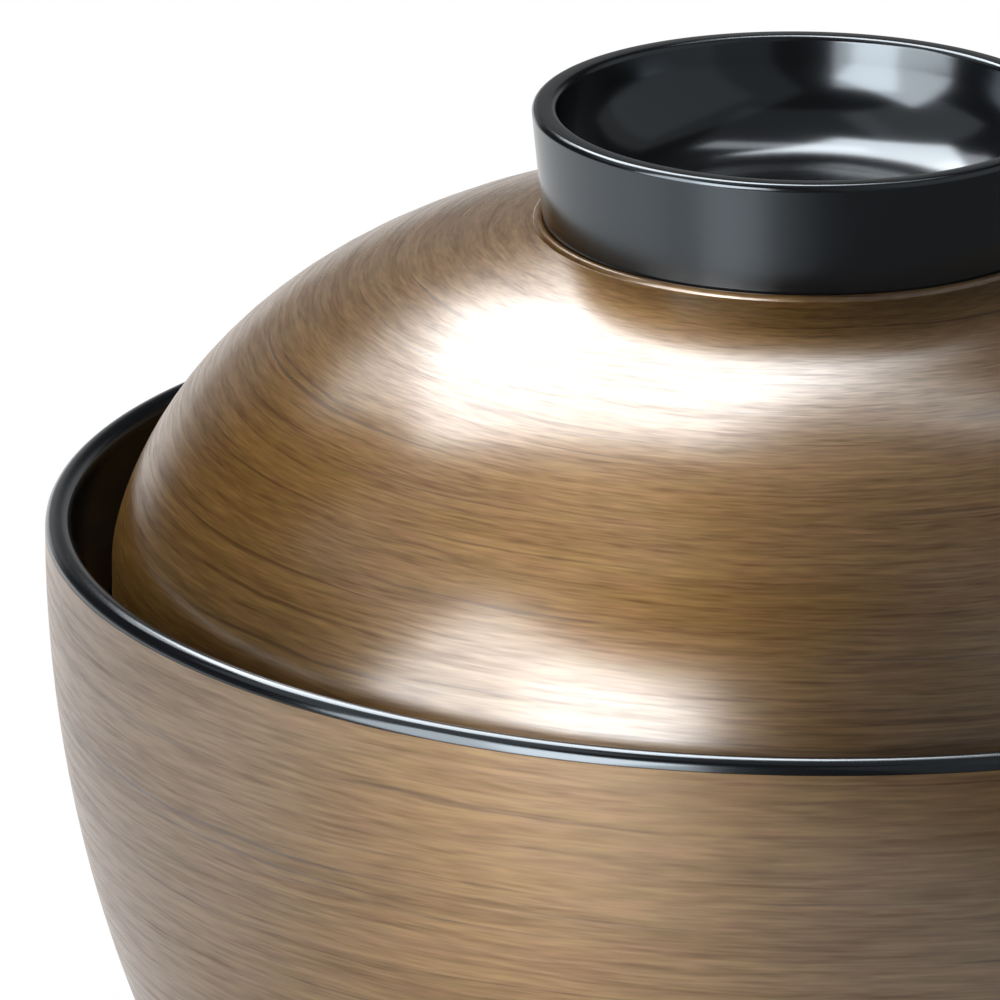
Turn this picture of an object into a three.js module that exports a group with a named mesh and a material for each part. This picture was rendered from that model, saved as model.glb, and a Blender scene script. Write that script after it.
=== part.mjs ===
// A lidded soup bowl, in millimetres, with +Z up and the origin on the table under its centre.
// The bowl and the lid are turned cores. Each has a brushed brown coat outside, a black lining inside
// and a black ring: the foot under the bowl, the grip on top of the lid.
import * as THREE from 'three';

// Bowl
const RIM_RADIUS = 57.5;
const RIM_HEIGHT = 66;
const LIP_THICKNESS = 2;
const WALL_FALL = 79; // depth below the lip at which the wall's ellipse would meet the axis
const HIP_HEIGHT = 28; // where the wall leaves that ellipse and turns in to the foot
const UNDERSIDE_SLOPE = 24; // degrees, where the wall meets the foot
const FLOOR_HEIGHT = 13.5; // inside floor above the table
const INSIDE_FULLNESS = 2.6; // exponent of the inside's superellipse, 2 is a plain ellipse
const THROAT_DEPTH = 12; // below the rim, where the flared mouth ends
const THROAT_WALL = 5; // wall there

// Foot
const FOOT_HEIGHT = 7;
const FOOT_RADIUS = 29;
const FOOT_TAPER = 0.9; // how much narrower the foot is at the table
const FOOT_WALL = 3;
const FOOT_RECESS = 5.4;
const FOOT_FILLET = 1.5;
const FOOT_EDGE = 0.5; // rounding of the foot's outer edge

// Lid
const LID_SEAT_DEPTH = 8.5; // below the rim, where the lid's edge rests in the mouth
const LID_EDGE_THICKNESS = 2.4;
const LID_WALL = 3.2;
const SKIRT_HEIGHT = 5; // upright part of the lid's side
const SHOULDER_REACH = 2.6; // how softly the skirt turns into the dome
const DOME_REACH = 28.4; // how far the dome keeps its slope beside the grip
const DOME_SLOPE = 11; // degrees, beside the grip
const CEILING_RISE = 1; // how far the lid's ceiling rises under the grip

// Grip ring
const SEAM_RADIUS = 19.85;
const SEAM_RISE = 23.2; // the dome's height above the rim, where it meets the grip
const GRIP_HEIGHT = 9.05;
const GRIP_LIP_RADIUS = 20.65;
const GRIP_WALL = 1.9;
const GRIP_INNER_LEAN = 10; // degrees
const GRIP_RECESS = 8.1;
const GRIP_EDGE = 0.5; // rounding of the grip's lip

// Coats and fits
const COAT = 0.4; // lacquer on both sides
const COAT_GAP = 0.15; // between a coat and what it covers
const SEAT_CLEARANCE = 0.4; // between the lid's edge and the mouth of the bowl

// Steps of the outlines and of a full turn
const TURN_STEPS = 48;
const WALL_STEPS = 4;
const HIP_STEPS = 4;
const INSIDE_STEPS = 7;
const FLARE_STEPS = 4;
const DOME_STEPS = 7;
const CEILING_STEPS = 3;
const ROUND_STEPS = 4;
const FILLET_STEPS = 3;
const DISH_STEPS = 6;

// Materials
const brushedBrown = () => new THREE.MeshStandardMaterial({ color: 0x7a5636, roughness: 0.32, metalness: 0 });
const blackLacquer = () => new THREE.MeshStandardMaterial({ color: 0x0b0c0e, roughness: 0.1, metalness: 0 });
const turnedWood = () => new THREE.MeshStandardMaterial({ color: 0xb98f5e, roughness: 0.6, metalness: 0 });

// Outlines are lists of points: x is the distance from the axis and y the height
const point = (radius, height) => new THREE.Vector2(radius, height);
const direction = (degrees) => {
  const angle = THREE.MathUtils.degToRad(degrees);
  return point(Math.cos(angle), Math.sin(angle));
};
const along = (start, way, distance) => start.clone().addScaledVector(way, distance);
const flipped = (outline) => outline.slice().reverse();

function arc(centre, radius, fromDegrees, toDegrees, steps) {
  const outline = [];
  for (let i = 0; i <= steps; i++) {
    const degrees = THREE.MathUtils.lerp(fromDegrees, toDegrees, i / steps);
    outline.push(along(centre, direction(degrees), radius));
  }
  return outline;
}

// The outline moved to its left by a distance, with points on the axis kept there
function offset(outline, distance) {
  return outline.map((here, i) => {
    const before = outline[Math.max(i - 1, 0)];
    const after = outline[Math.min(i + 1, outline.length - 1)];
    const ahead = after.clone().sub(before).normalize();
    const moved = point(here.x - ahead.y * distance, here.y + ahead.x * distance);
    return here.x === 0 ? point(0, here.y + Math.sign(ahead.x) * distance) : moved;
  });
}

function crossing(startA, wayA, startB, wayB) {
  const between = startB.clone().sub(startA);
  return along(startA, wayA, between.cross(wayB) / wayA.cross(wayB));
}

function turned(name, outline, material) {
  const geometry = new THREE.LatheGeometry(outline, TURN_STEPS);
  geometry.rotateX(Math.PI / 2);
  const mesh = new THREE.Mesh(geometry, material);
  mesh.name = name;
  return mesh;
}

const closed = (outline) => [...outline, outline[0].clone()];

const UNDER_COAT = COAT + COAT_GAP;

// Outside of the bowl, from the foot up to the lip
const lipRound = LIP_THICKNESS / 2;
const lipHeight = RIM_HEIGHT - lipRound;

const wallRadius = (height) => RIM_RADIUS * Math.sqrt(1 - ((lipHeight - height) / WALL_FALL) ** 2);

function bowlOutside(top) {
  const foot = point(FOOT_RADIUS, FOOT_HEIGHT);
  const hip = point(wallRadius(HIP_HEIGHT), HIP_HEIGHT);
  const hipLean = (RIM_RADIUS ** 2 * (lipHeight - HIP_HEIGHT)) / (WALL_FALL ** 2 * hip.x);
  const knee = crossing(foot, direction(UNDERSIDE_SLOPE), hip, point(hipLean, 1));
  const outline = new THREE.QuadraticBezierCurve(foot, knee, hip).getPoints(HIP_STEPS);
  for (let i = 1; i <= WALL_STEPS; i++) {
    const height = THREE.MathUtils.lerp(HIP_HEIGHT, top, i / WALL_STEPS);
    outline.push(point(wallRadius(height), height));
  }
  return outline;
}

// Inside of the bowl, from the floor's centre up to the lip
const throatHeight = RIM_HEIGHT - THROAT_DEPTH;
const throatRadius = wallRadius(throatHeight) - THROAT_WALL;
const mouthRadius = RIM_RADIUS - LIP_THICKNESS;

function flareRadius(height) {
  const opened = THREE.MathUtils.smoothstep(height, throatHeight, lipHeight);
  return THREE.MathUtils.lerp(throatRadius, mouthRadius, opened);
}

function bowlInside() {
  const outline = [point(0, FLOOR_HEIGHT)];
  const depth = throatHeight - FLOOR_HEIGHT;
  for (let i = 1; i <= INSIDE_STEPS; i++) {
    const turn = direction(90 - (90 * i) / INSIDE_STEPS);
    const radius = throatRadius * Math.max(turn.x, 0) ** (2 / INSIDE_FULLNESS);
    outline.push(point(radius, throatHeight - depth * Math.max(turn.y, 0) ** (2 / INSIDE_FULLNESS)));
  }
  for (let i = 1; i <= FLARE_STEPS; i++) {
    const height = THREE.MathUtils.lerp(throatHeight, lipHeight, i / FLARE_STEPS);
    outline.push(point(flareRadius(height), height));
  }
  return outline;
}

const lipCentre = point(RIM_RADIUS - lipRound, lipHeight);
const lipOver = (radius) => arc(lipCentre, radius, 180, 0, ROUND_STEPS);
const bowlSkin = (depth) => [...offset(bowlInside(), -depth).slice(0, -1), ...lipOver(lipRound - depth)];

function bowlPieces() {
  const coat = bowlOutside(lipHeight - COAT_GAP);
  const coatBack = offset(coat, COAT);
  const coreSide = offset(bowlOutside(lipHeight), UNDER_COAT);
  const core = [point(0, coreSide[0].y), ...coreSide.slice(0, -1), ...flipped(bowlSkin(UNDER_COAT))];
  return [
    turned('bowl_core', core, turnedWood()),
    turned('bowl_outer_coat', closed([...coat, ...flipped(coatBack)]), brushedBrown()),
    turned('bowl_lining', [...bowlSkin(COAT), ...flipped(bowlSkin(0))], blackLacquer()),
    turned('bowl_foot_ring', footOutline(coatBack[0].x, coreSide[0].y), blackLacquer()),
  ];
}

function footOutline(coatEdge, coreHeight) {
  const topRadius = coatEdge - COAT_GAP;
  const baseRadius = topRadius - FOOT_TAPER;
  const innerRadius = baseRadius - FOOT_WALL;
  const topHeight = coreHeight - COAT_GAP;
  const filletCentre = point(innerRadius - FOOT_FILLET, FOOT_RECESS - FOOT_FILLET);
  return [
    point(0, FOOT_RECESS),
    ...arc(filletCentre, FOOT_FILLET, 90, 0, FILLET_STEPS),
    point(innerRadius, 0),
    ...arc(point(baseRadius - FOOT_EDGE, FOOT_EDGE), FOOT_EDGE, -90, 0, FILLET_STEPS),
    point(topRadius, topHeight),
    point(0, topHeight),
  ];
}

// Outside of the lid, from its edge up to the seam with the grip
const edgeRound = LID_EDGE_THICKNESS / 2;
const edgeHeight = RIM_HEIGHT - LID_SEAT_DEPTH;
const lidRadius = flareRadius(edgeHeight) - SEAT_CLEARANCE;
const seam = point(SEAM_RADIUS, RIM_HEIGHT + SEAM_RISE);

function lidOutside(bottom) {
  const skirt = point(lidRadius, edgeHeight + SKIRT_HEIGHT);
  const shoulder = along(skirt, point(0, 1), SHOULDER_REACH);
  const brow = along(seam, direction(-DOME_SLOPE), DOME_REACH);
  const dome = new THREE.CubicBezierCurve(skirt, shoulder, brow, seam);
  return [point(lidRadius, bottom), ...dome.getPoints(DOME_STEPS)];
}

// Inside of the lid, from the ceiling's centre down to its edge
function lidInside() {
  const side = offset(lidOutside(edgeHeight), LID_WALL);
  side[0] = point(lidRadius - LID_EDGE_THICKNESS, edgeHeight);
  const brow = side[side.length - 1];
  const slope = Math.tan(THREE.MathUtils.degToRad(DOME_SLOPE));
  const bend = along(brow, point(-1 / slope, 1), CEILING_RISE);
  const ceiling = new THREE.QuadraticBezierCurve(point(0, bend.y), bend, brow);
  return [...ceiling.getPoints(CEILING_STEPS), ...flipped(side).slice(1)];
}

const edgeCentre = point(lidRadius - edgeRound, edgeHeight);
const edgeUnder = (radius) => arc(edgeCentre, radius, 180, 360, ROUND_STEPS);
const lidSkin = (depth) => [...offset(lidInside(), depth).slice(0, -1), ...edgeUnder(edgeRound - depth)];

function lidPieces() {
  const coat = lidOutside(edgeHeight + COAT_GAP);
  const coatBack = offset(coat, COAT);
  const coreSide = offset(lidOutside(edgeHeight), UNDER_COAT);
  const coreTop = coreSide[coreSide.length - 1].y;
  const core = [...lidSkin(UNDER_COAT), ...coreSide.slice(1), point(0, coreTop)];
  return [
    turned('lid_core', core, turnedWood()),
    turned('lid_outer_coat', closed([...coat, ...flipped(coatBack)]), brushedBrown()),
    turned('lid_lining', [...lidSkin(0), ...flipped(lidSkin(COAT))], blackLacquer()),
    turned('lid_grip_ring', gripOutline(coatBack[coatBack.length - 1].x, coreTop), blackLacquer()),
  ];
}

// The grip's wall leans outwards, and its inside is a dish that rounds up to the lip
function gripOutline(coatEdge, coreHeight) {
  const baseRadius = coatEdge - COAT_GAP;
  const baseHeight = coreHeight + COAT_GAP;
  const top = seam.y + GRIP_HEIGHT;
  const floor = top - GRIP_RECESS;
  const outerEdge = point(GRIP_LIP_RADIUS - GRIP_EDGE, top - GRIP_EDGE);
  const innerEdge = point(GRIP_LIP_RADIUS - GRIP_WALL + GRIP_EDGE, top - GRIP_EDGE);
  const dishRadius = GRIP_RECESS - GRIP_EDGE;
  const besideWall = along(innerEdge, direction(180 - GRIP_INNER_LEAN), GRIP_EDGE + dishRadius);
  const innerRise = direction(90 - GRIP_INNER_LEAN);
  const dishCentre = crossing(innerEdge, direction(0), besideWall, innerRise);
  return [
    point(0, baseHeight),
    point(baseRadius, baseHeight),
    point(baseRadius, seam.y),
    ...arc(outerEdge, GRIP_EDGE, 0, 90, FILLET_STEPS),
    ...arc(innerEdge, GRIP_EDGE, 90, 180 - GRIP_INNER_LEAN, FILLET_STEPS),
    ...arc(dishCentre, dishRadius, 360 - GRIP_INNER_LEAN, 270, DISH_STEPS),
    point(0, floor),
  ];
}

const bowl = new THREE.Group();
bowl.add(...bowlPieces());
const lid = new THREE.Group();
lid.add(...lidPieces());

const liddedBowl = new THREE.Group();
liddedBowl.add(bowl, lid);

export default liddedBowl;
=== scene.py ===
# A lidded soup bowl in brushed brown and black lacquer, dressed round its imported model.
# Metres, +Z up, with the origin on the table under the bowl's centre.
import math

import bmesh
import bpy
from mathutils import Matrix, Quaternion, Vector
from mathutils.geometry import interpolate_bezier


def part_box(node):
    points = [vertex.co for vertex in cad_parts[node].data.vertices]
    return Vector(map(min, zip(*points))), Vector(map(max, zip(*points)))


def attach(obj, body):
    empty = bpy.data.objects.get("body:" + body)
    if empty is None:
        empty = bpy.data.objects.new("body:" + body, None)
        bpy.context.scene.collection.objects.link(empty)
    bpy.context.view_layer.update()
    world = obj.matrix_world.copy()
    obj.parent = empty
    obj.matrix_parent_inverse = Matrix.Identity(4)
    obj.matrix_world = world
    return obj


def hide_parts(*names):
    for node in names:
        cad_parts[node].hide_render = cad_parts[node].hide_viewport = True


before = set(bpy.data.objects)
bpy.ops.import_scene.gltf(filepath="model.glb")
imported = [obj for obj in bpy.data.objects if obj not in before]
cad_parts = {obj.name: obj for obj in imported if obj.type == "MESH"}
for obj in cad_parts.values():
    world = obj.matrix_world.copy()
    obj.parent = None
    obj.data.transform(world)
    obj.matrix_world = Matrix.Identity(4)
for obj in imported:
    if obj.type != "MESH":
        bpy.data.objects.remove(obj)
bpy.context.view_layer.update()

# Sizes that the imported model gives
RIM_RADIUS, _, RIM_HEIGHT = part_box("bowl_lining")[1]
FOOT_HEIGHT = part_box("bowl_outer_coat")[0][2]
LID_RADIUS, _, SEAM_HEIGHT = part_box("lid_outer_coat")[1]
GRIP_LIP_RADIUS, _, GRIP_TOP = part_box("lid_grip_ring")[1]

# Bowl
LIP_THICKNESS = 0.002
WALL_FALL = 0.079  # depth below the lip at which the wall's ellipse would meet the axis
HIP_HEIGHT = 0.028  # where the wall leaves that ellipse and turns in to the foot
UNDERSIDE_SLOPE = 24  # degrees, where the wall meets the foot
FLOOR_HEIGHT = 0.0135
INSIDE_FULLNESS = 2.6  # exponent of the inside's superellipse, 2 is a plain ellipse
THROAT_DEPTH = 0.012  # below the rim, where the flared mouth ends
THROAT_WALL = 0.005

# Foot
FOOT_RADIUS = 0.029
FOOT_TAPER = 0.0009
FOOT_WALL = 0.003
FOOT_RECESS = 0.0054
FOOT_FILLET = 0.0015
FOOT_EDGE = 0.0005

# Lid
LID_SEAT_DEPTH = 0.0085  # below the rim, where the lid's edge rests in the mouth
LID_EDGE_THICKNESS = 0.0024
LID_WALL = 0.0032
SKIRT_HEIGHT = 0.005
SHOULDER_REACH = 0.0026
DOME_REACH = 0.0284
DOME_SLOPE = 11  # degrees, beside the grip
CEILING_RISE = 0.001

# Grip ring
SEAM_RADIUS = 0.01985
BEAD_RADIUS = 0.00042  # bead of lacquer round the grip's base
BEAD_SHIFT = 0.00026  # its centre outside the seam
BEAD_TURN = 75  # degrees from the dome's normal to where the bead starts
GRIP_WALL = 0.0019
GRIP_INNER_LEAN = 10  # degrees
GRIP_RECESS = 0.0081
GRIP_EDGE = 0.0005

# Coats
COAT = 0.0004
COAT_GAP = 0.00005  # between a coat and what it covers
UNDER_COAT = COAT + COAT_GAP

# Steps of the outlines and of a full turn
TURN_STEPS = 256
CURVE_STEPS = 24
ARC_STEPS = 10
SHARP_ANGLE = 40  # degrees, beyond which an edge isn't shaded smooth
MERGE_DISTANCE = 1e-6

# Camera, from a fit to the rim and the grip ring in the photograph
PHOTO_SIDE = 1000
FOCAL_PIXELS = 13085
RIM_CENTRE_PIXEL = (798, 511)
CAMERA_DISTANCE = 1.0
CAMERA_ELEVATION = 18.4
CAMERA_ROLL = 0.95
SENSOR_WIDTH = 36  # millimetres


# Outlines are lists of points in the XZ plane: x is the distance from the axis and z the height
def spot(radius, height):
    return Vector((radius, 0, height))


def toward(degrees):
    angle = math.radians(degrees)
    return spot(math.cos(angle), math.sin(angle))


def steps_between(start, end, steps):
    return [start + (end - start) * i / steps for i in range(steps + 1)]


def arc(centre, radius, start, end):
    return [centre + radius * toward(degrees) for degrees in steps_between(start, end, ARC_STEPS)]


def curve(start, start_handle, end_handle, end):
    return interpolate_bezier(start, start_handle, end_handle, end, CURVE_STEPS + 1)


def bend(start, corner, end):
    """A quadratic curve, written as a cubic one."""
    return curve(start, start.lerp(corner, 2 / 3), end.lerp(corner, 2 / 3), end)


def crossing(start_a, way_a, start_b, way_b):
    between = start_b - start_a
    return start_a + way_a * (between.cross(way_b).y / way_a.cross(way_b).y)


def offset(outline, distance):
    """The outline moved to its left, with points on the axis kept there."""
    moved = []
    for i, here in enumerate(outline):
        before = outline[max(i - 1, 0)]
        after = outline[min(i + 1, len(outline) - 1)]
        ahead = (after - before).normalized()
        if here.x == 0:
            moved.append(spot(0, here.z + math.copysign(distance, ahead.x * distance)))
        else:
            moved.append(here + distance * spot(-ahead.z, ahead.x))
    return moved


def turned(name, outline, closed=False):
    """A solid of revolution about the Z axis."""
    shape = bmesh.new()
    corners = [shape.verts.new(corner) for corner in outline]
    pairs = list(zip(corners, corners[1:]))
    if closed:
        pairs.append((corners[-1], corners[0]))
    edges = [shape.edges.new(pair) for pair in pairs]
    bmesh.ops.spin(
        shape,
        geom=corners + edges,
        cent=(0, 0, 0),
        axis=(0, 0, 1),
        angle=math.tau,
        steps=TURN_STEPS,
        use_merge=True,
    )
    bmesh.ops.remove_doubles(shape, verts=shape.verts, dist=MERGE_DISTANCE)
    bmesh.ops.recalc_face_normals(shape, faces=shape.faces)
    mesh = bpy.data.meshes.new(name)
    shape.to_mesh(mesh)
    shape.free()
    mesh.shade_smooth()
    mesh.set_sharp_from_angle(angle=math.radians(SHARP_ANGLE))
    piece = bpy.data.objects.new(name, mesh)
    bpy.context.collection.objects.link(piece)
    return piece


def fitted(piece, body, node, finish):
    """The piece takes its node's place on a body, with its finish."""
    piece.data.materials.append(finish)
    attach(piece, body)
    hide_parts(node)


# Outside of the bowl, from the foot up to the lip
LIP_ROUND = LIP_THICKNESS / 2
LIP_HEIGHT = RIM_HEIGHT - LIP_ROUND
LIP_CENTRE = spot(RIM_RADIUS - LIP_ROUND, LIP_HEIGHT)


def wall_radius(height):
    return RIM_RADIUS * math.sqrt(1 - ((LIP_HEIGHT - height) / WALL_FALL) ** 2)


def bowl_outside(top):
    foot = spot(FOOT_RADIUS, FOOT_HEIGHT)
    hip = spot(wall_radius(HIP_HEIGHT), HIP_HEIGHT)
    hip_lean = RIM_RADIUS**2 * (LIP_HEIGHT - HIP_HEIGHT) / (WALL_FALL**2 * hip.x)
    knee = crossing(foot, toward(UNDERSIDE_SLOPE), hip, spot(hip_lean, 1))
    heights = steps_between(HIP_HEIGHT, top, CURVE_STEPS)[1:]
    return bend(foot, knee, hip) + [spot(wall_radius(height), height) for height in heights]


# Inside of the bowl, from the floor's centre up to the lip
THROAT_HEIGHT = RIM_HEIGHT - THROAT_DEPTH
THROAT_RADIUS = wall_radius(THROAT_HEIGHT) - THROAT_WALL
MOUTH_RADIUS = RIM_RADIUS - LIP_THICKNESS


def flare_radius(height):
    share = (height - THROAT_HEIGHT) / (LIP_HEIGHT - THROAT_HEIGHT)
    opened = share * share * (3 - 2 * share)
    return THROAT_RADIUS + (MOUTH_RADIUS - THROAT_RADIUS) * opened


def bowl_inside():
    depth = THROAT_HEIGHT - FLOOR_HEIGHT
    power = 2 / INSIDE_FULLNESS
    outline = [spot(0, FLOOR_HEIGHT)]
    for degrees in steps_between(90, 0, CURVE_STEPS)[1:]:
        turn = toward(degrees)
        outline.append(spot(THROAT_RADIUS * turn.x**power, THROAT_HEIGHT - depth * max(turn.z, 0) ** power))
    for height in steps_between(THROAT_HEIGHT, LIP_HEIGHT, CURVE_STEPS)[1:]:
        outline.append(spot(flare_radius(height), height))
    return outline


def bowl_skin(depth):
    """The bowl's inside and its lip, moved into the wall by a depth."""
    return offset(bowl_inside(), -depth)[:-1] + arc(LIP_CENTRE, LIP_ROUND - depth, 180, 0)


def make_bowl(brown, black, wood):
    coat = bowl_outside(LIP_HEIGHT - COAT_GAP)
    coat_back = offset(coat, COAT)
    core_side = offset(bowl_outside(LIP_HEIGHT), UNDER_COAT)
    core_base = core_side[0].z
    core = [spot(0, core_base)] + core_side[:-1] + bowl_skin(UNDER_COAT)[::-1]
    lining = bowl_skin(COAT) + bowl_skin(0)[::-1]
    foot = foot_outline(coat_back[0].x - COAT_GAP, core_base - COAT_GAP)
    fitted(turned("bowl_wood", core), "bowl", "bowl_core", wood)
    wall = turned("bowl_brushed_wall", coat + coat_back[::-1], closed=True)
    fitted(wall, "bowl", "bowl_outer_coat", brown)
    fitted(turned("bowl_black_inside", lining), "bowl", "bowl_lining", black)
    fitted(turned("bowl_foot", foot), "bowl", "bowl_foot_ring", black)


def foot_outline(top_radius, top_height):
    base_radius = top_radius - FOOT_TAPER
    inner_radius = base_radius - FOOT_WALL
    fillet_centre = spot(inner_radius - FOOT_FILLET, FOOT_RECESS - FOOT_FILLET)
    return [
        spot(0, FOOT_RECESS),
        *arc(fillet_centre, FOOT_FILLET, 90, 0),
        *arc(spot(inner_radius + FOOT_EDGE, FOOT_EDGE), FOOT_EDGE, 180, 270),
        *arc(spot(base_radius - FOOT_EDGE, FOOT_EDGE), FOOT_EDGE, -90, 0),
        spot(top_radius, top_height),
        spot(0, top_height),
    ]


# Outside of the lid, from its edge up to the seam with the grip
EDGE_ROUND = LID_EDGE_THICKNESS / 2
EDGE_HEIGHT = RIM_HEIGHT - LID_SEAT_DEPTH
EDGE_CENTRE = spot(LID_RADIUS - EDGE_ROUND, EDGE_HEIGHT)


def lid_outside(bottom):
    skirt = spot(LID_RADIUS, EDGE_HEIGHT + SKIRT_HEIGHT)
    seam = spot(SEAM_RADIUS, SEAM_HEIGHT)
    shoulder = skirt + SHOULDER_REACH * toward(90)
    brow = seam + DOME_REACH * toward(-DOME_SLOPE)
    return [spot(LID_RADIUS, bottom)] + curve(skirt, shoulder, brow, seam)


# Inside of the lid, from the ceiling's centre down to its edge
def lid_inside():
    side = offset(lid_outside(EDGE_HEIGHT), LID_WALL)
    side[0] = spot(LID_RADIUS - LID_EDGE_THICKNESS, EDGE_HEIGHT)
    brow = side[-1]
    slope = math.tan(math.radians(DOME_SLOPE))
    corner = brow + CEILING_RISE * spot(-1 / slope, 1)
    return bend(spot(0, corner.z), corner, brow) + side[-2::-1]


def lid_skin(depth):
    """The lid's inside and its edge, moved into the wall by a depth."""
    return offset(lid_inside(), depth)[:-1] + arc(EDGE_CENTRE, EDGE_ROUND - depth, 180, 360)


def make_lid(brown, black, wood):
    coat = lid_outside(EDGE_HEIGHT + COAT_GAP)
    coat_back = offset(coat, COAT)
    bead_centre = coat[-1] + BEAD_SHIFT * toward(-DOME_SLOPE)
    bead = arc(bead_centre, BEAD_RADIUS, 90 - DOME_SLOPE - BEAD_TURN, 180)
    core_side = offset(lid_outside(EDGE_HEIGHT), UNDER_COAT)
    core_top = core_side[-1].z
    core = lid_skin(UNDER_COAT) + core_side[1:] + [spot(0, core_top)]
    lining = lid_skin(0) + lid_skin(COAT)[::-1]
    grip = grip_outline(coat_back[-1].x - COAT_GAP, core_top + COAT_GAP)
    fitted(turned("lid_wood", core), "lid", "lid_core", wood)
    dome = turned("lid_brushed_dome", coat[:-1] + bead + coat_back[::-1], closed=True)
    fitted(dome, "lid", "lid_outer_coat", brown)
    fitted(turned("lid_black_inside", lining), "lid", "lid_lining", black)
    fitted(turned("lid_grip", grip), "lid", "lid_grip_ring", black)


def grip_outline(base_radius, base_height):
    """The grip's wall leans outwards, and its inside is a dish that rounds up to the lip."""
    floor = GRIP_TOP - GRIP_RECESS
    outer_edge = spot(GRIP_LIP_RADIUS - GRIP_EDGE, GRIP_TOP - GRIP_EDGE)
    inner_edge = spot(GRIP_LIP_RADIUS - GRIP_WALL + GRIP_EDGE, GRIP_TOP - GRIP_EDGE)
    outer_lean = math.degrees(math.atan2(GRIP_LIP_RADIUS - base_radius, outer_edge.z - SEAM_HEIGHT))
    dish_radius = GRIP_RECESS - GRIP_EDGE
    beside_wall = inner_edge + (GRIP_EDGE + dish_radius) * toward(180 - GRIP_INNER_LEAN)
    dish_centre = crossing(inner_edge, toward(0), beside_wall, toward(90 - GRIP_INNER_LEAN))
    return [
        spot(0, base_height),
        spot(base_radius, base_height),
        spot(base_radius, SEAM_HEIGHT),
        *arc(outer_edge, GRIP_EDGE, -outer_lean, 90),
        *arc(inner_edge, GRIP_EDGE, 90, 180 - GRIP_INNER_LEAN),
        *arc(dish_centre, dish_radius, 360 - GRIP_INNER_LEAN, 270),
        spot(0, floor),
    ]


class Signal:
    """One output of a node. Arithmetic on it adds Math nodes to the same finish."""

    def __init__(self, finish, socket):
        self.finish = finish
        self.socket = socket

    def output(self, name):
        return Signal(self.finish, self.socket.node.outputs[name])

    def calculate(self, operation, first, second):
        sockets = {"Value": first, "Value_001": second}
        return self.finish.node("ShaderNodeMath", {"operation": operation}, sockets)

    def __add__(self, other):
        return self.calculate("ADD", self, other)

    def __radd__(self, other):
        return self.calculate("ADD", other, self)

    def __sub__(self, other):
        return self.calculate("SUBTRACT", self, other)

    def __rsub__(self, other):
        return self.calculate("SUBTRACT", other, self)

    def __mul__(self, other):
        return self.calculate("MULTIPLY", self, other)

    def __rmul__(self, other):
        return self.calculate("MULTIPLY", other, self)

    def __truediv__(self, other):
        return self.calculate("DIVIDE", self, other)

    def __rtruediv__(self, other):
        return self.calculate("DIVIDE", other, self)

    def __pow__(self, other):
        return self.calculate("POWER", self, other)


NOISE_MIDDLE = 0.5  # what the noise varies about


def axis_distance(x, y):
    return (x * x + y * y) ** 0.5


class Finish:
    """The nodes of a material or of the world."""

    def __init__(self, owner):
        self.owner = owner
        owner.use_nodes = True
        self.tree = owner.node_tree
        self.tree.nodes.clear()

    def node(self, kind, settings=None, sockets=None):
        """Adds a node with its settings, fills or links its sockets, and gives its first output."""
        node = self.tree.nodes.new(kind)
        for name, value in (settings or {}).items():
            setattr(node, name, value)
        inputs = {socket.identifier: socket for socket in node.inputs}
        for name, value in (sockets or {}).items():
            if isinstance(value, Signal):
                self.tree.links.new(value.socket, inputs[name])
            else:
                inputs[name].default_value = value
        return Signal(self, node.outputs[0]) if node.outputs else None

    def mix(self, share, first, second):
        sockets = {"Factor_Float": share, "A_Color": first, "B_Color": second}
        mixed = self.node("ShaderNodeMix", {"data_type": "RGBA"}, sockets)
        return Signal(self, mixed.socket.node.outputs[2])

    def limited(self, value):
        """The value held between 0 and 1."""
        return self.node("ShaderNodeClamp", {}, {"Value": value})

    def smooth_rise(self, value, start, end, lowest=0.0):
        """Rises from the lowest to 1 as the value goes from start to end."""
        sockets = {"Value": value, "From Min": start, "From Max": end, "To Min": lowest, "To Max": 1.0}
        return self.node("ShaderNodeMapRange", {"interpolation_type": "SMOOTHSTEP"}, sockets)

    def background_rays(self):
        """1 for a ray from the camera, and 1 for a ray from a reflection."""
        ray = self.node("ShaderNodeLightPath")
        mirrored = ray.output("Is Glossy Ray") + ray.output("Is Transmission Ray")
        return ray.output("Is Camera Ray"), self.limited(mirrored)

    def place(self):
        """X, Y and Z of a point on the piece, or of a direction into the surroundings."""
        coordinates = self.node("ShaderNodeTexCoord").output("Object")
        split = self.node("ShaderNodeSeparateXYZ", {}, {"Vector": coordinates})
        return split.output("X"), split.output("Y"), split.output("Z")

    def noise(self, x, y, z, detail=2.0):
        """Soft noise from 0 to 1, in cells of size 1."""
        vector = self.node("ShaderNodeCombineXYZ", {}, {"X": x, "Y": y, "Z": z})
        return self.node("ShaderNodeTexNoise", {}, {"Vector": vector, "Scale": 1.0, "Detail": detail})

    def bump(self, height, depth, strength):
        return self.node("ShaderNodeBump", {}, {"Height": height, "Distance": depth, "Strength": strength})

    def surface(self, sockets):
        shader = self.node("ShaderNodeBsdfPrincipled", {}, sockets)
        self.node("ShaderNodeOutputMaterial", {}, {"Surface": shader})
        return self.owner


# Brushed brown lacquer
RED_BROWN_DARK = (0.123, 0.056, 0.016, 1)
RED_BROWN_LIGHT = (0.307, 0.162, 0.052, 1)
OCHRE_DARK = (0.121, 0.063, 0.0145, 1)
OCHRE_LIGHT = (0.293, 0.174, 0.043, 1)
EDGE_TINT = (0.45, 0.3, 0.15, 1)  # of the sheen where the surface is seen edge on
# The bowl's wall and the dome are one lacquer. The wall's middle tone is set lighter than the dome's, which
# is painted light on the wall.
WALL_TONE_PAINTED_LIGHTER = 0.64  # middle tone of the bowl, where 0 is dark and 1 is light
DOME_TONE = 0.46

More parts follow.
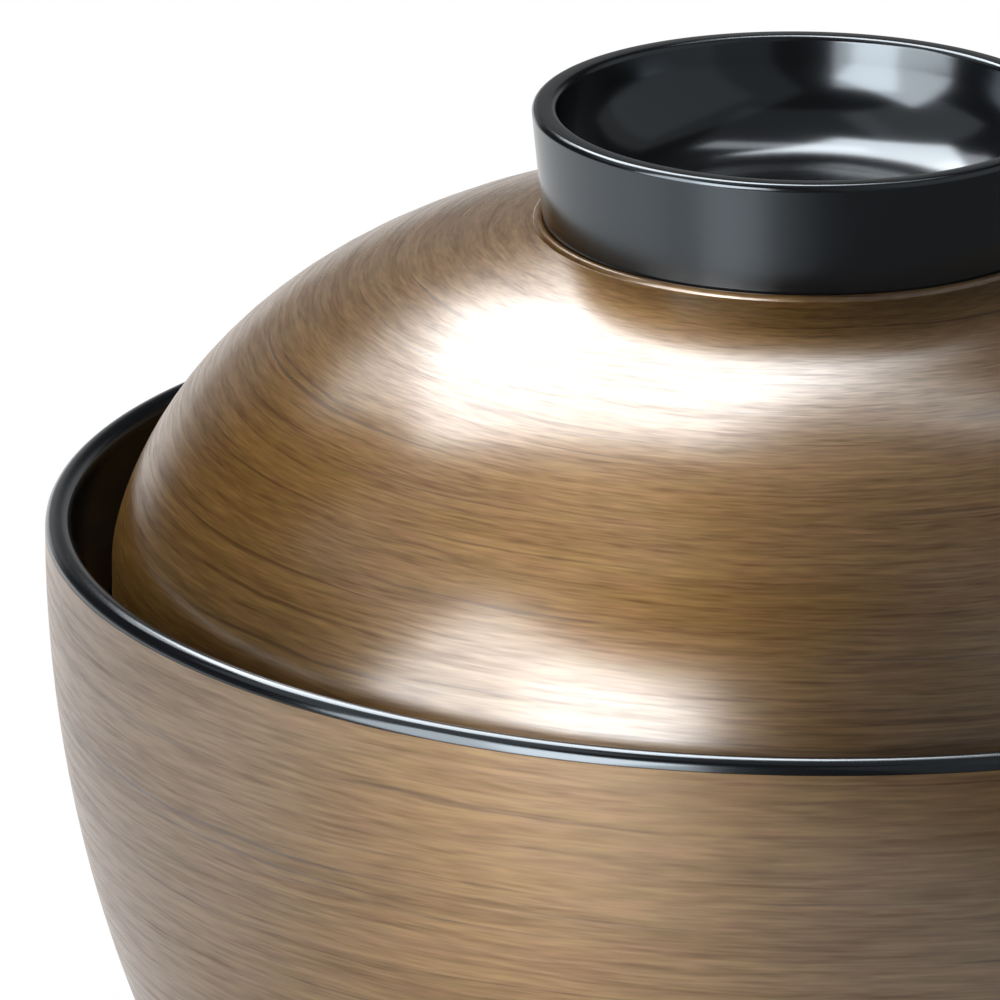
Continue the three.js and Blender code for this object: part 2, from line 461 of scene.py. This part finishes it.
# Brush marks: length and width, and a place in the noise that keeps the kinds apart
FINE_STREAK = (0.0034, 0.00027, 0.0)
MIDDLE_STREAK = (0.018, 0.0007, 20.0)
BROAD_STREAK = (0.06, 0.0024, 40.0)
DARK_STREAK = (0.05, 0.0007, 60.0)
BRUSH_WAVE = (0.014, 0.004, 80.0)
HUE_PATCH = (0.005, 0.0013, 100.0)
STREAK_RADIUS = 0.05  # distance from the axis at which a mark has its stated length
STREAK_DETAIL = 1.0
WAVE_HEIGHT = 0.0008
FINE_CONTRAST = 1.1
MIDDLE_CONTRAST = 0.9
BROAD_CONTRAST = 0.35
DARK_CONTRAST = 0.7
DARK_START = 0.64  # noise level from which a dark streak shows
DARK_SHARPNESS = 8
HUE_MIDDLE = 0.5  # half way from red-brown to ochre
HUE_CONTRAST = 1.7

# Surface of the brushed lacquer, and how far its clear coat covers it
BRUSHED_ROUGHNESS = 0.62
BRUSHED_ROUGHNESS_SPREAD = 0.08
CLEAR_COVER = 0.9
CLEAR_COVER_FINE = 0.5
CLEAR_COVER_MIDDLE = 0.6
MARK_DEPTH = 0.00002
MARK_STRENGTH = 0.3


def brushed_brown(name, slope, lightness):
    """Brush marks round the axis, about a middle tone.

    slope is 1 where the surface widens upwards and -1 where it narrows.
    """
    finish = Finish(bpy.data.materials.new(name))
    x, y, z = finish.place()
    radius = axis_distance(x, y)

    def streaks(kind, across):
        length, width, start = kind
        cells = STREAK_RADIUS / length
        along_x = x / radius * cells + start
        along_y = y / radius * cells
        return finish.noise(along_x, along_y, across / width, STREAK_DETAIL)

    level = z + radius * slope
    across = level + streaks(BRUSH_WAVE, level) * WAVE_HEIGHT
    fine = streaks(FINE_STREAK, across) - NOISE_MIDDLE
    middle = streaks(MIDDLE_STREAK, across) - NOISE_MIDDLE
    broad = streaks(BROAD_STREAK, across) - NOISE_MIDDLE
    dark = finish.limited((streaks(DARK_STREAK, across) - DARK_START) * DARK_SHARPNESS)
    marks = fine * FINE_CONTRAST + middle * MIDDLE_CONTRAST + broad * BROAD_CONTRAST
    tone = finish.limited(lightness + marks - dark * DARK_CONTRAST)
    hue_swing = streaks(HUE_PATCH, level) - NOISE_MIDDLE
    hue = finish.limited(HUE_MIDDLE + hue_swing * HUE_CONTRAST)
    cover = CLEAR_COVER + fine * CLEAR_COVER_FINE + middle * CLEAR_COVER_MIDDLE
    red_brown = finish.mix(tone, RED_BROWN_DARK, RED_BROWN_LIGHT)
    ochre = finish.mix(tone, OCHRE_DARK, OCHRE_LIGHT)
    return finish.surface(
        {
            "Base Color": finish.mix(hue, red_brown, ochre),
            "Metallic": 0.96,
            "Roughness": BRUSHED_ROUGHNESS + middle * BRUSHED_ROUGHNESS_SPREAD,
            "Specular Tint": EDGE_TINT,
            "Anisotropic": 0.65,
            "Anisotropic Rotation": 0.25,
            "Coat Weight": finish.limited(cover),
            "Coat Roughness": 0.235,
            "Coat IOR": 2.15,
            "Normal": finish.bump(fine + middle, MARK_DEPTH, MARK_STRENGTH),
        }
    )


# Black lacquer
BLACK_DEEP = (0.0018, 0.002, 0.0026, 1)
BLACK_WORN = (0.0036, 0.004, 0.005, 1)
# The bluish tint of the black's reflections stands in for cool lamp light. It is painted light colour, not
# the lacquer's own.
BLACK_GLOSS_COOL_LIGHT_TINT = (0.8, 0.91, 1.0, 1)
POLISH_CELL = 0.006
POLISH_DETAIL = 3.0
POLISH_ROUGHNESS = 0.165
POLISH_SPREAD = 0.04
RIPPLE_CELL = 0.004
RIPPLE_DETAIL = 1.0
RIPPLE_DEPTH = 0.00001
RIPPLE_STRENGTH = 0.1


def black_lacquer():
    """Polished black, on the linings with the rim, the grip and the foot."""
    finish = Finish(bpy.data.materials.new("black_lacquer"))
    x, y, z = finish.place()
    polish = finish.noise(x / POLISH_CELL, y / POLISH_CELL, z / POLISH_CELL, POLISH_DETAIL)
    ripple = finish.noise(x / RIPPLE_CELL, y / RIPPLE_CELL, z / RIPPLE_CELL, RIPPLE_DETAIL)
    return finish.surface(
        {
            "Base Color": finish.mix(polish, BLACK_DEEP, BLACK_WORN),
            "Roughness": POLISH_ROUGHNESS + (polish - NOISE_MIDDLE) * POLISH_SPREAD,
            "IOR": 1.55,
            "Specular IOR Level": 1.0,
            # the bluish tint of these reflections is painted cool light
            "Specular Tint": BLACK_GLOSS_COOL_LIGHT_TINT,
            "Normal": finish.bump(ripple, RIPPLE_DEPTH, RIPPLE_STRENGTH),
        }
    )


# Turned wood, hidden under the coats
WOOD_PALE = (0.52, 0.34, 0.18, 1)
WOOD_DARK = (0.33, 0.19, 0.085, 1)
GROWTH_RING = 0.0022  # width of a growth ring
GROWTH_TURN = 0.03  # length over which the rings drift
PORE_WIDTH = 0.0004
PORE_LENGTH = 0.006
PORE_DEPTH = 0.00005
PORE_STRENGTH = 0.3
WOOD_ROUGHNESS = 0.55
WOOD_ROUGHNESS_SPREAD = 0.15


def turned_wood():
    finish = Finish(bpy.data.materials.new("turned_wood"))
    x, y, z = finish.place()
    drift = finish.noise(x / GROWTH_TURN, y / GROWTH_TURN, z / GROWTH_TURN)
    rings = finish.noise((x + drift * GROWTH_TURN) / GROWTH_RING, 0.0, z / GROWTH_TURN)
    pores = finish.noise(x / PORE_WIDTH, y / PORE_LENGTH, z / PORE_WIDTH)
    return finish.surface(
        {
            "Base Color": finish.mix(rings, WOOD_DARK, WOOD_PALE),
            "Roughness": WOOD_ROUGHNESS + pores * WOOD_ROUGHNESS_SPREAD,
            "Normal": finish.bump(pores, PORE_DEPTH, PORE_STRENGTH),
        }
    )


# Camera
def make_camera():
    elevation = math.radians(CAMERA_ELEVATION)
    back = Vector((0, -math.cos(elevation), math.sin(elevation)))
    column, row = RIM_CENTRE_PIXEL
    middle = PHOTO_SIDE / 2
    aim = Vector((column - middle, middle - row, -FOCAL_PIXELS)).normalized()
    turn = Vector((0, 0, -1)).rotation_difference(aim)
    roll = Quaternion(aim, math.radians(CAMERA_ROLL))
    data = bpy.data.cameras.new("camera")
    data.sensor_width = SENSOR_WIDTH
    data.lens = SENSOR_WIDTH * FOCAL_PIXELS / PHOTO_SIDE
    camera = bpy.data.objects.new("camera", data)
    camera.location = Vector((0, 0, RIM_HEIGHT)) + CAMERA_DISTANCE * back
    camera.rotation_mode = "QUATERNION"
    camera.rotation_quaternion = (-back).to_track_quat("-Z", "Y") @ (roll @ turn).inverted()
    bpy.context.collection.objects.link(camera)
    bpy.context.scene.camera = camera


# Studio
LIGHT_AIM = Vector((0, 0, 0.07))
LIGHT_DISTANCE = 1.5
FLOOR_REACH = 15
FLOOR_COLOUR = (0.58, 0.58, 0.58, 1)
FLOOR_GLOSS = 0.35  # roughness of the table top
FLOOR_SHADE = (0.03, 0.08)  # distances from the axis over which the bowl's shadow thins out
FLOOR_FALL = (-0.05, 0.10)  # distances towards the back left over which the floor turns plain white
FLOOR_DIM = 0.1  # share of plain white at the front right
FLOOR_FAR = (0.18, 0.28)  # distances over which reflections pass from the table to the room
FAR_STRETCH = 0.8  # how far the table's end moves out on the left and in on the right
BACKDROP = (0.76, 0.9)  # cosines of the angle from straight back over which the room turns plain white
BACKDROP_TOP = (0.2, 0.4)  # sines of the elevation over which that white ends
BACKDROP_GLOW = 0.3  # share of plain white that reflections show of it above the table
SURROUNDINGS = (0.03, 0.03, 0.03, 1)
PLAIN_BLACK = (0, 0, 0, 1)
PLAIN_WHITE = (1, 1, 1, 1)


def softbox(name, azimuth, elevation, width, height, radiance, roll=0):
    """A rectangle of light that faces the bowl, with its place, size and roll in degrees as seen from it.

    Azimuth 0 is the camera's side and 90 is its right.
    """
    across, up = math.radians(azimuth), math.radians(elevation)
    way = Vector((math.sin(across) * math.cos(up), -math.cos(across) * math.cos(up), math.sin(up)))
    data = bpy.data.lights.new(name, "AREA")
    data.shape = "RECTANGLE"
    data.size = 2 * LIGHT_DISTANCE * math.tan(math.radians(width / 2))
    data.size_y = 2 * LIGHT_DISTANCE * math.tan(math.radians(height / 2))
    data.energy = radiance * math.pi * data.size * data.size_y
    light = bpy.data.objects.new(name, data)
    light.location = LIGHT_AIM + LIGHT_DISTANCE * way
    light.rotation_mode = "QUATERNION"
    light.rotation_quaternion = Quaternion(way, math.radians(roll)) @ (-way).to_track_quat("-Z", "Y")
    light.visible_camera = False
    bpy.context.collection.objects.link(light)


def make_floor():
    shape = bmesh.new()
    bmesh.ops.create_grid(shape, x_segments=1, y_segments=1, size=FLOOR_REACH)
    mesh = bpy.data.meshes.new("floor")
    shape.to_mesh(mesh)
    shape.free()
    floor = bpy.data.objects.new("floor", mesh)
    bpy.context.collection.objects.link(floor)
    finish = Finish(bpy.data.materials.new("floor"))
    # The camera sees plain white at the back left and the lit table elsewhere. Reflections see the
    # table near the bowl, and further out a dark room with a white backdrop.
    watched, mirrored = finish.background_rays()
    x, y, _ = finish.place()
    radius = axis_distance(x, y)
    towards_back_left = (y - x) * math.sqrt(0.5)
    white = finish.smooth_rise(towards_back_left, *FLOOR_FALL, FLOOR_DIM)
    far = finish.smooth_rise(radius + x * FAR_STRETCH, *FLOOR_FAR)
    backdrop = finish.smooth_rise(y / radius, *BACKDROP, FLOOR_DIM)
    open_floor = finish.smooth_rise(radius, *FLOOR_SHADE)
    share = open_floor * (watched * white + mirrored * finish.limited(white + far))
    brightness = finish.limited(watched + white * (1 - far) + backdrop * far)
    shade = finish.mix(brightness, PLAIN_BLACK, PLAIN_WHITE)
    table = {"Base Color": FLOOR_COLOUR, "Roughness": FLOOR_GLOSS}
    lit = finish.node("ShaderNodeBsdfPrincipled", {}, table)
    glow = finish.node("ShaderNodeEmission", {}, {"Color": shade, "Strength": 1.0})
    sockets = {"Fac": share, "Shader": lit, "Shader_001": glow}
    shader = finish.node("ShaderNodeMixShader", {}, sockets)
    finish.node("ShaderNodeOutputMaterial", {}, {"Surface": shader})
    mesh.materials.append(finish.owner)


def make_surroundings():
    world = bpy.data.worlds.new("studio")
    bpy.context.scene.world = world
    finish = Finish(world)
    # The camera sees plain white all round. Reflections see it, dimmer, only low behind the table.
    watched, mirrored = finish.background_rays()
    x, y, z = finish.place()
    behind = finish.smooth_rise(y / axis_distance(x, y), *BACKDROP)
    low = 1 - finish.smooth_rise(z, *BACKDROP_TOP)
    share = finish.limited(watched + mirrored * behind * low * BACKDROP_GLOW)
    shade = finish.mix(share, SURROUNDINGS, PLAIN_WHITE)
    air = finish.node("ShaderNodeBackground", {}, {"Color": shade, "Strength": 1.0})
    finish.node("ShaderNodeOutputWorld", {}, {"Surface": air})


black = black_lacquer()
wood = turned_wood()
# The wall's lighter middle tone than the dome's is painted light.
make_bowl(brushed_brown("brushed_brown_wall", slope=1, lightness=WALL_TONE_PAINTED_LIGHTER), black, wood)
make_lid(brushed_brown("brushed_brown_dome", slope=-1, lightness=DOME_TONE), black, wood)
make_camera()
make_floor()
make_surroundings()
softbox("back_softbox", azimuth=-155, elevation=55.4, width=33, height=33, radiance=7.6, roll=38)
softbox("back_softbox_foot", azimuth=-154, elevation=37.5, width=33, height=14, radiance=2.2)
softbox("back_softbox_end", azimuth=169, elevation=65, width=30, height=9, radiance=2.2)
softbox("front_softbox", azimuth=-29, elevation=12.5, width=30, height=42, radiance=3.8, roll=8)
softbox("front_softbox_edge", azimuth=-45, elevation=16, width=48, height=40, radiance=4.8, roll=-20)
softbox("left_panel", azimuth=-84, elevation=50, width=44, height=48, radiance=0.36)
softbox("side_fill", azimuth=75, elevation=30, width=66, height=48, radiance=0.13)
softbox("side_fill_edge", azimuth=68, elevation=26, width=104, height=78, radiance=0.16)
softbox("ceiling", azimuth=0, elevation=88, width=50, height=50, radiance=0.14)
bpy.context.scene.view_settings.view_transform = "Standard"
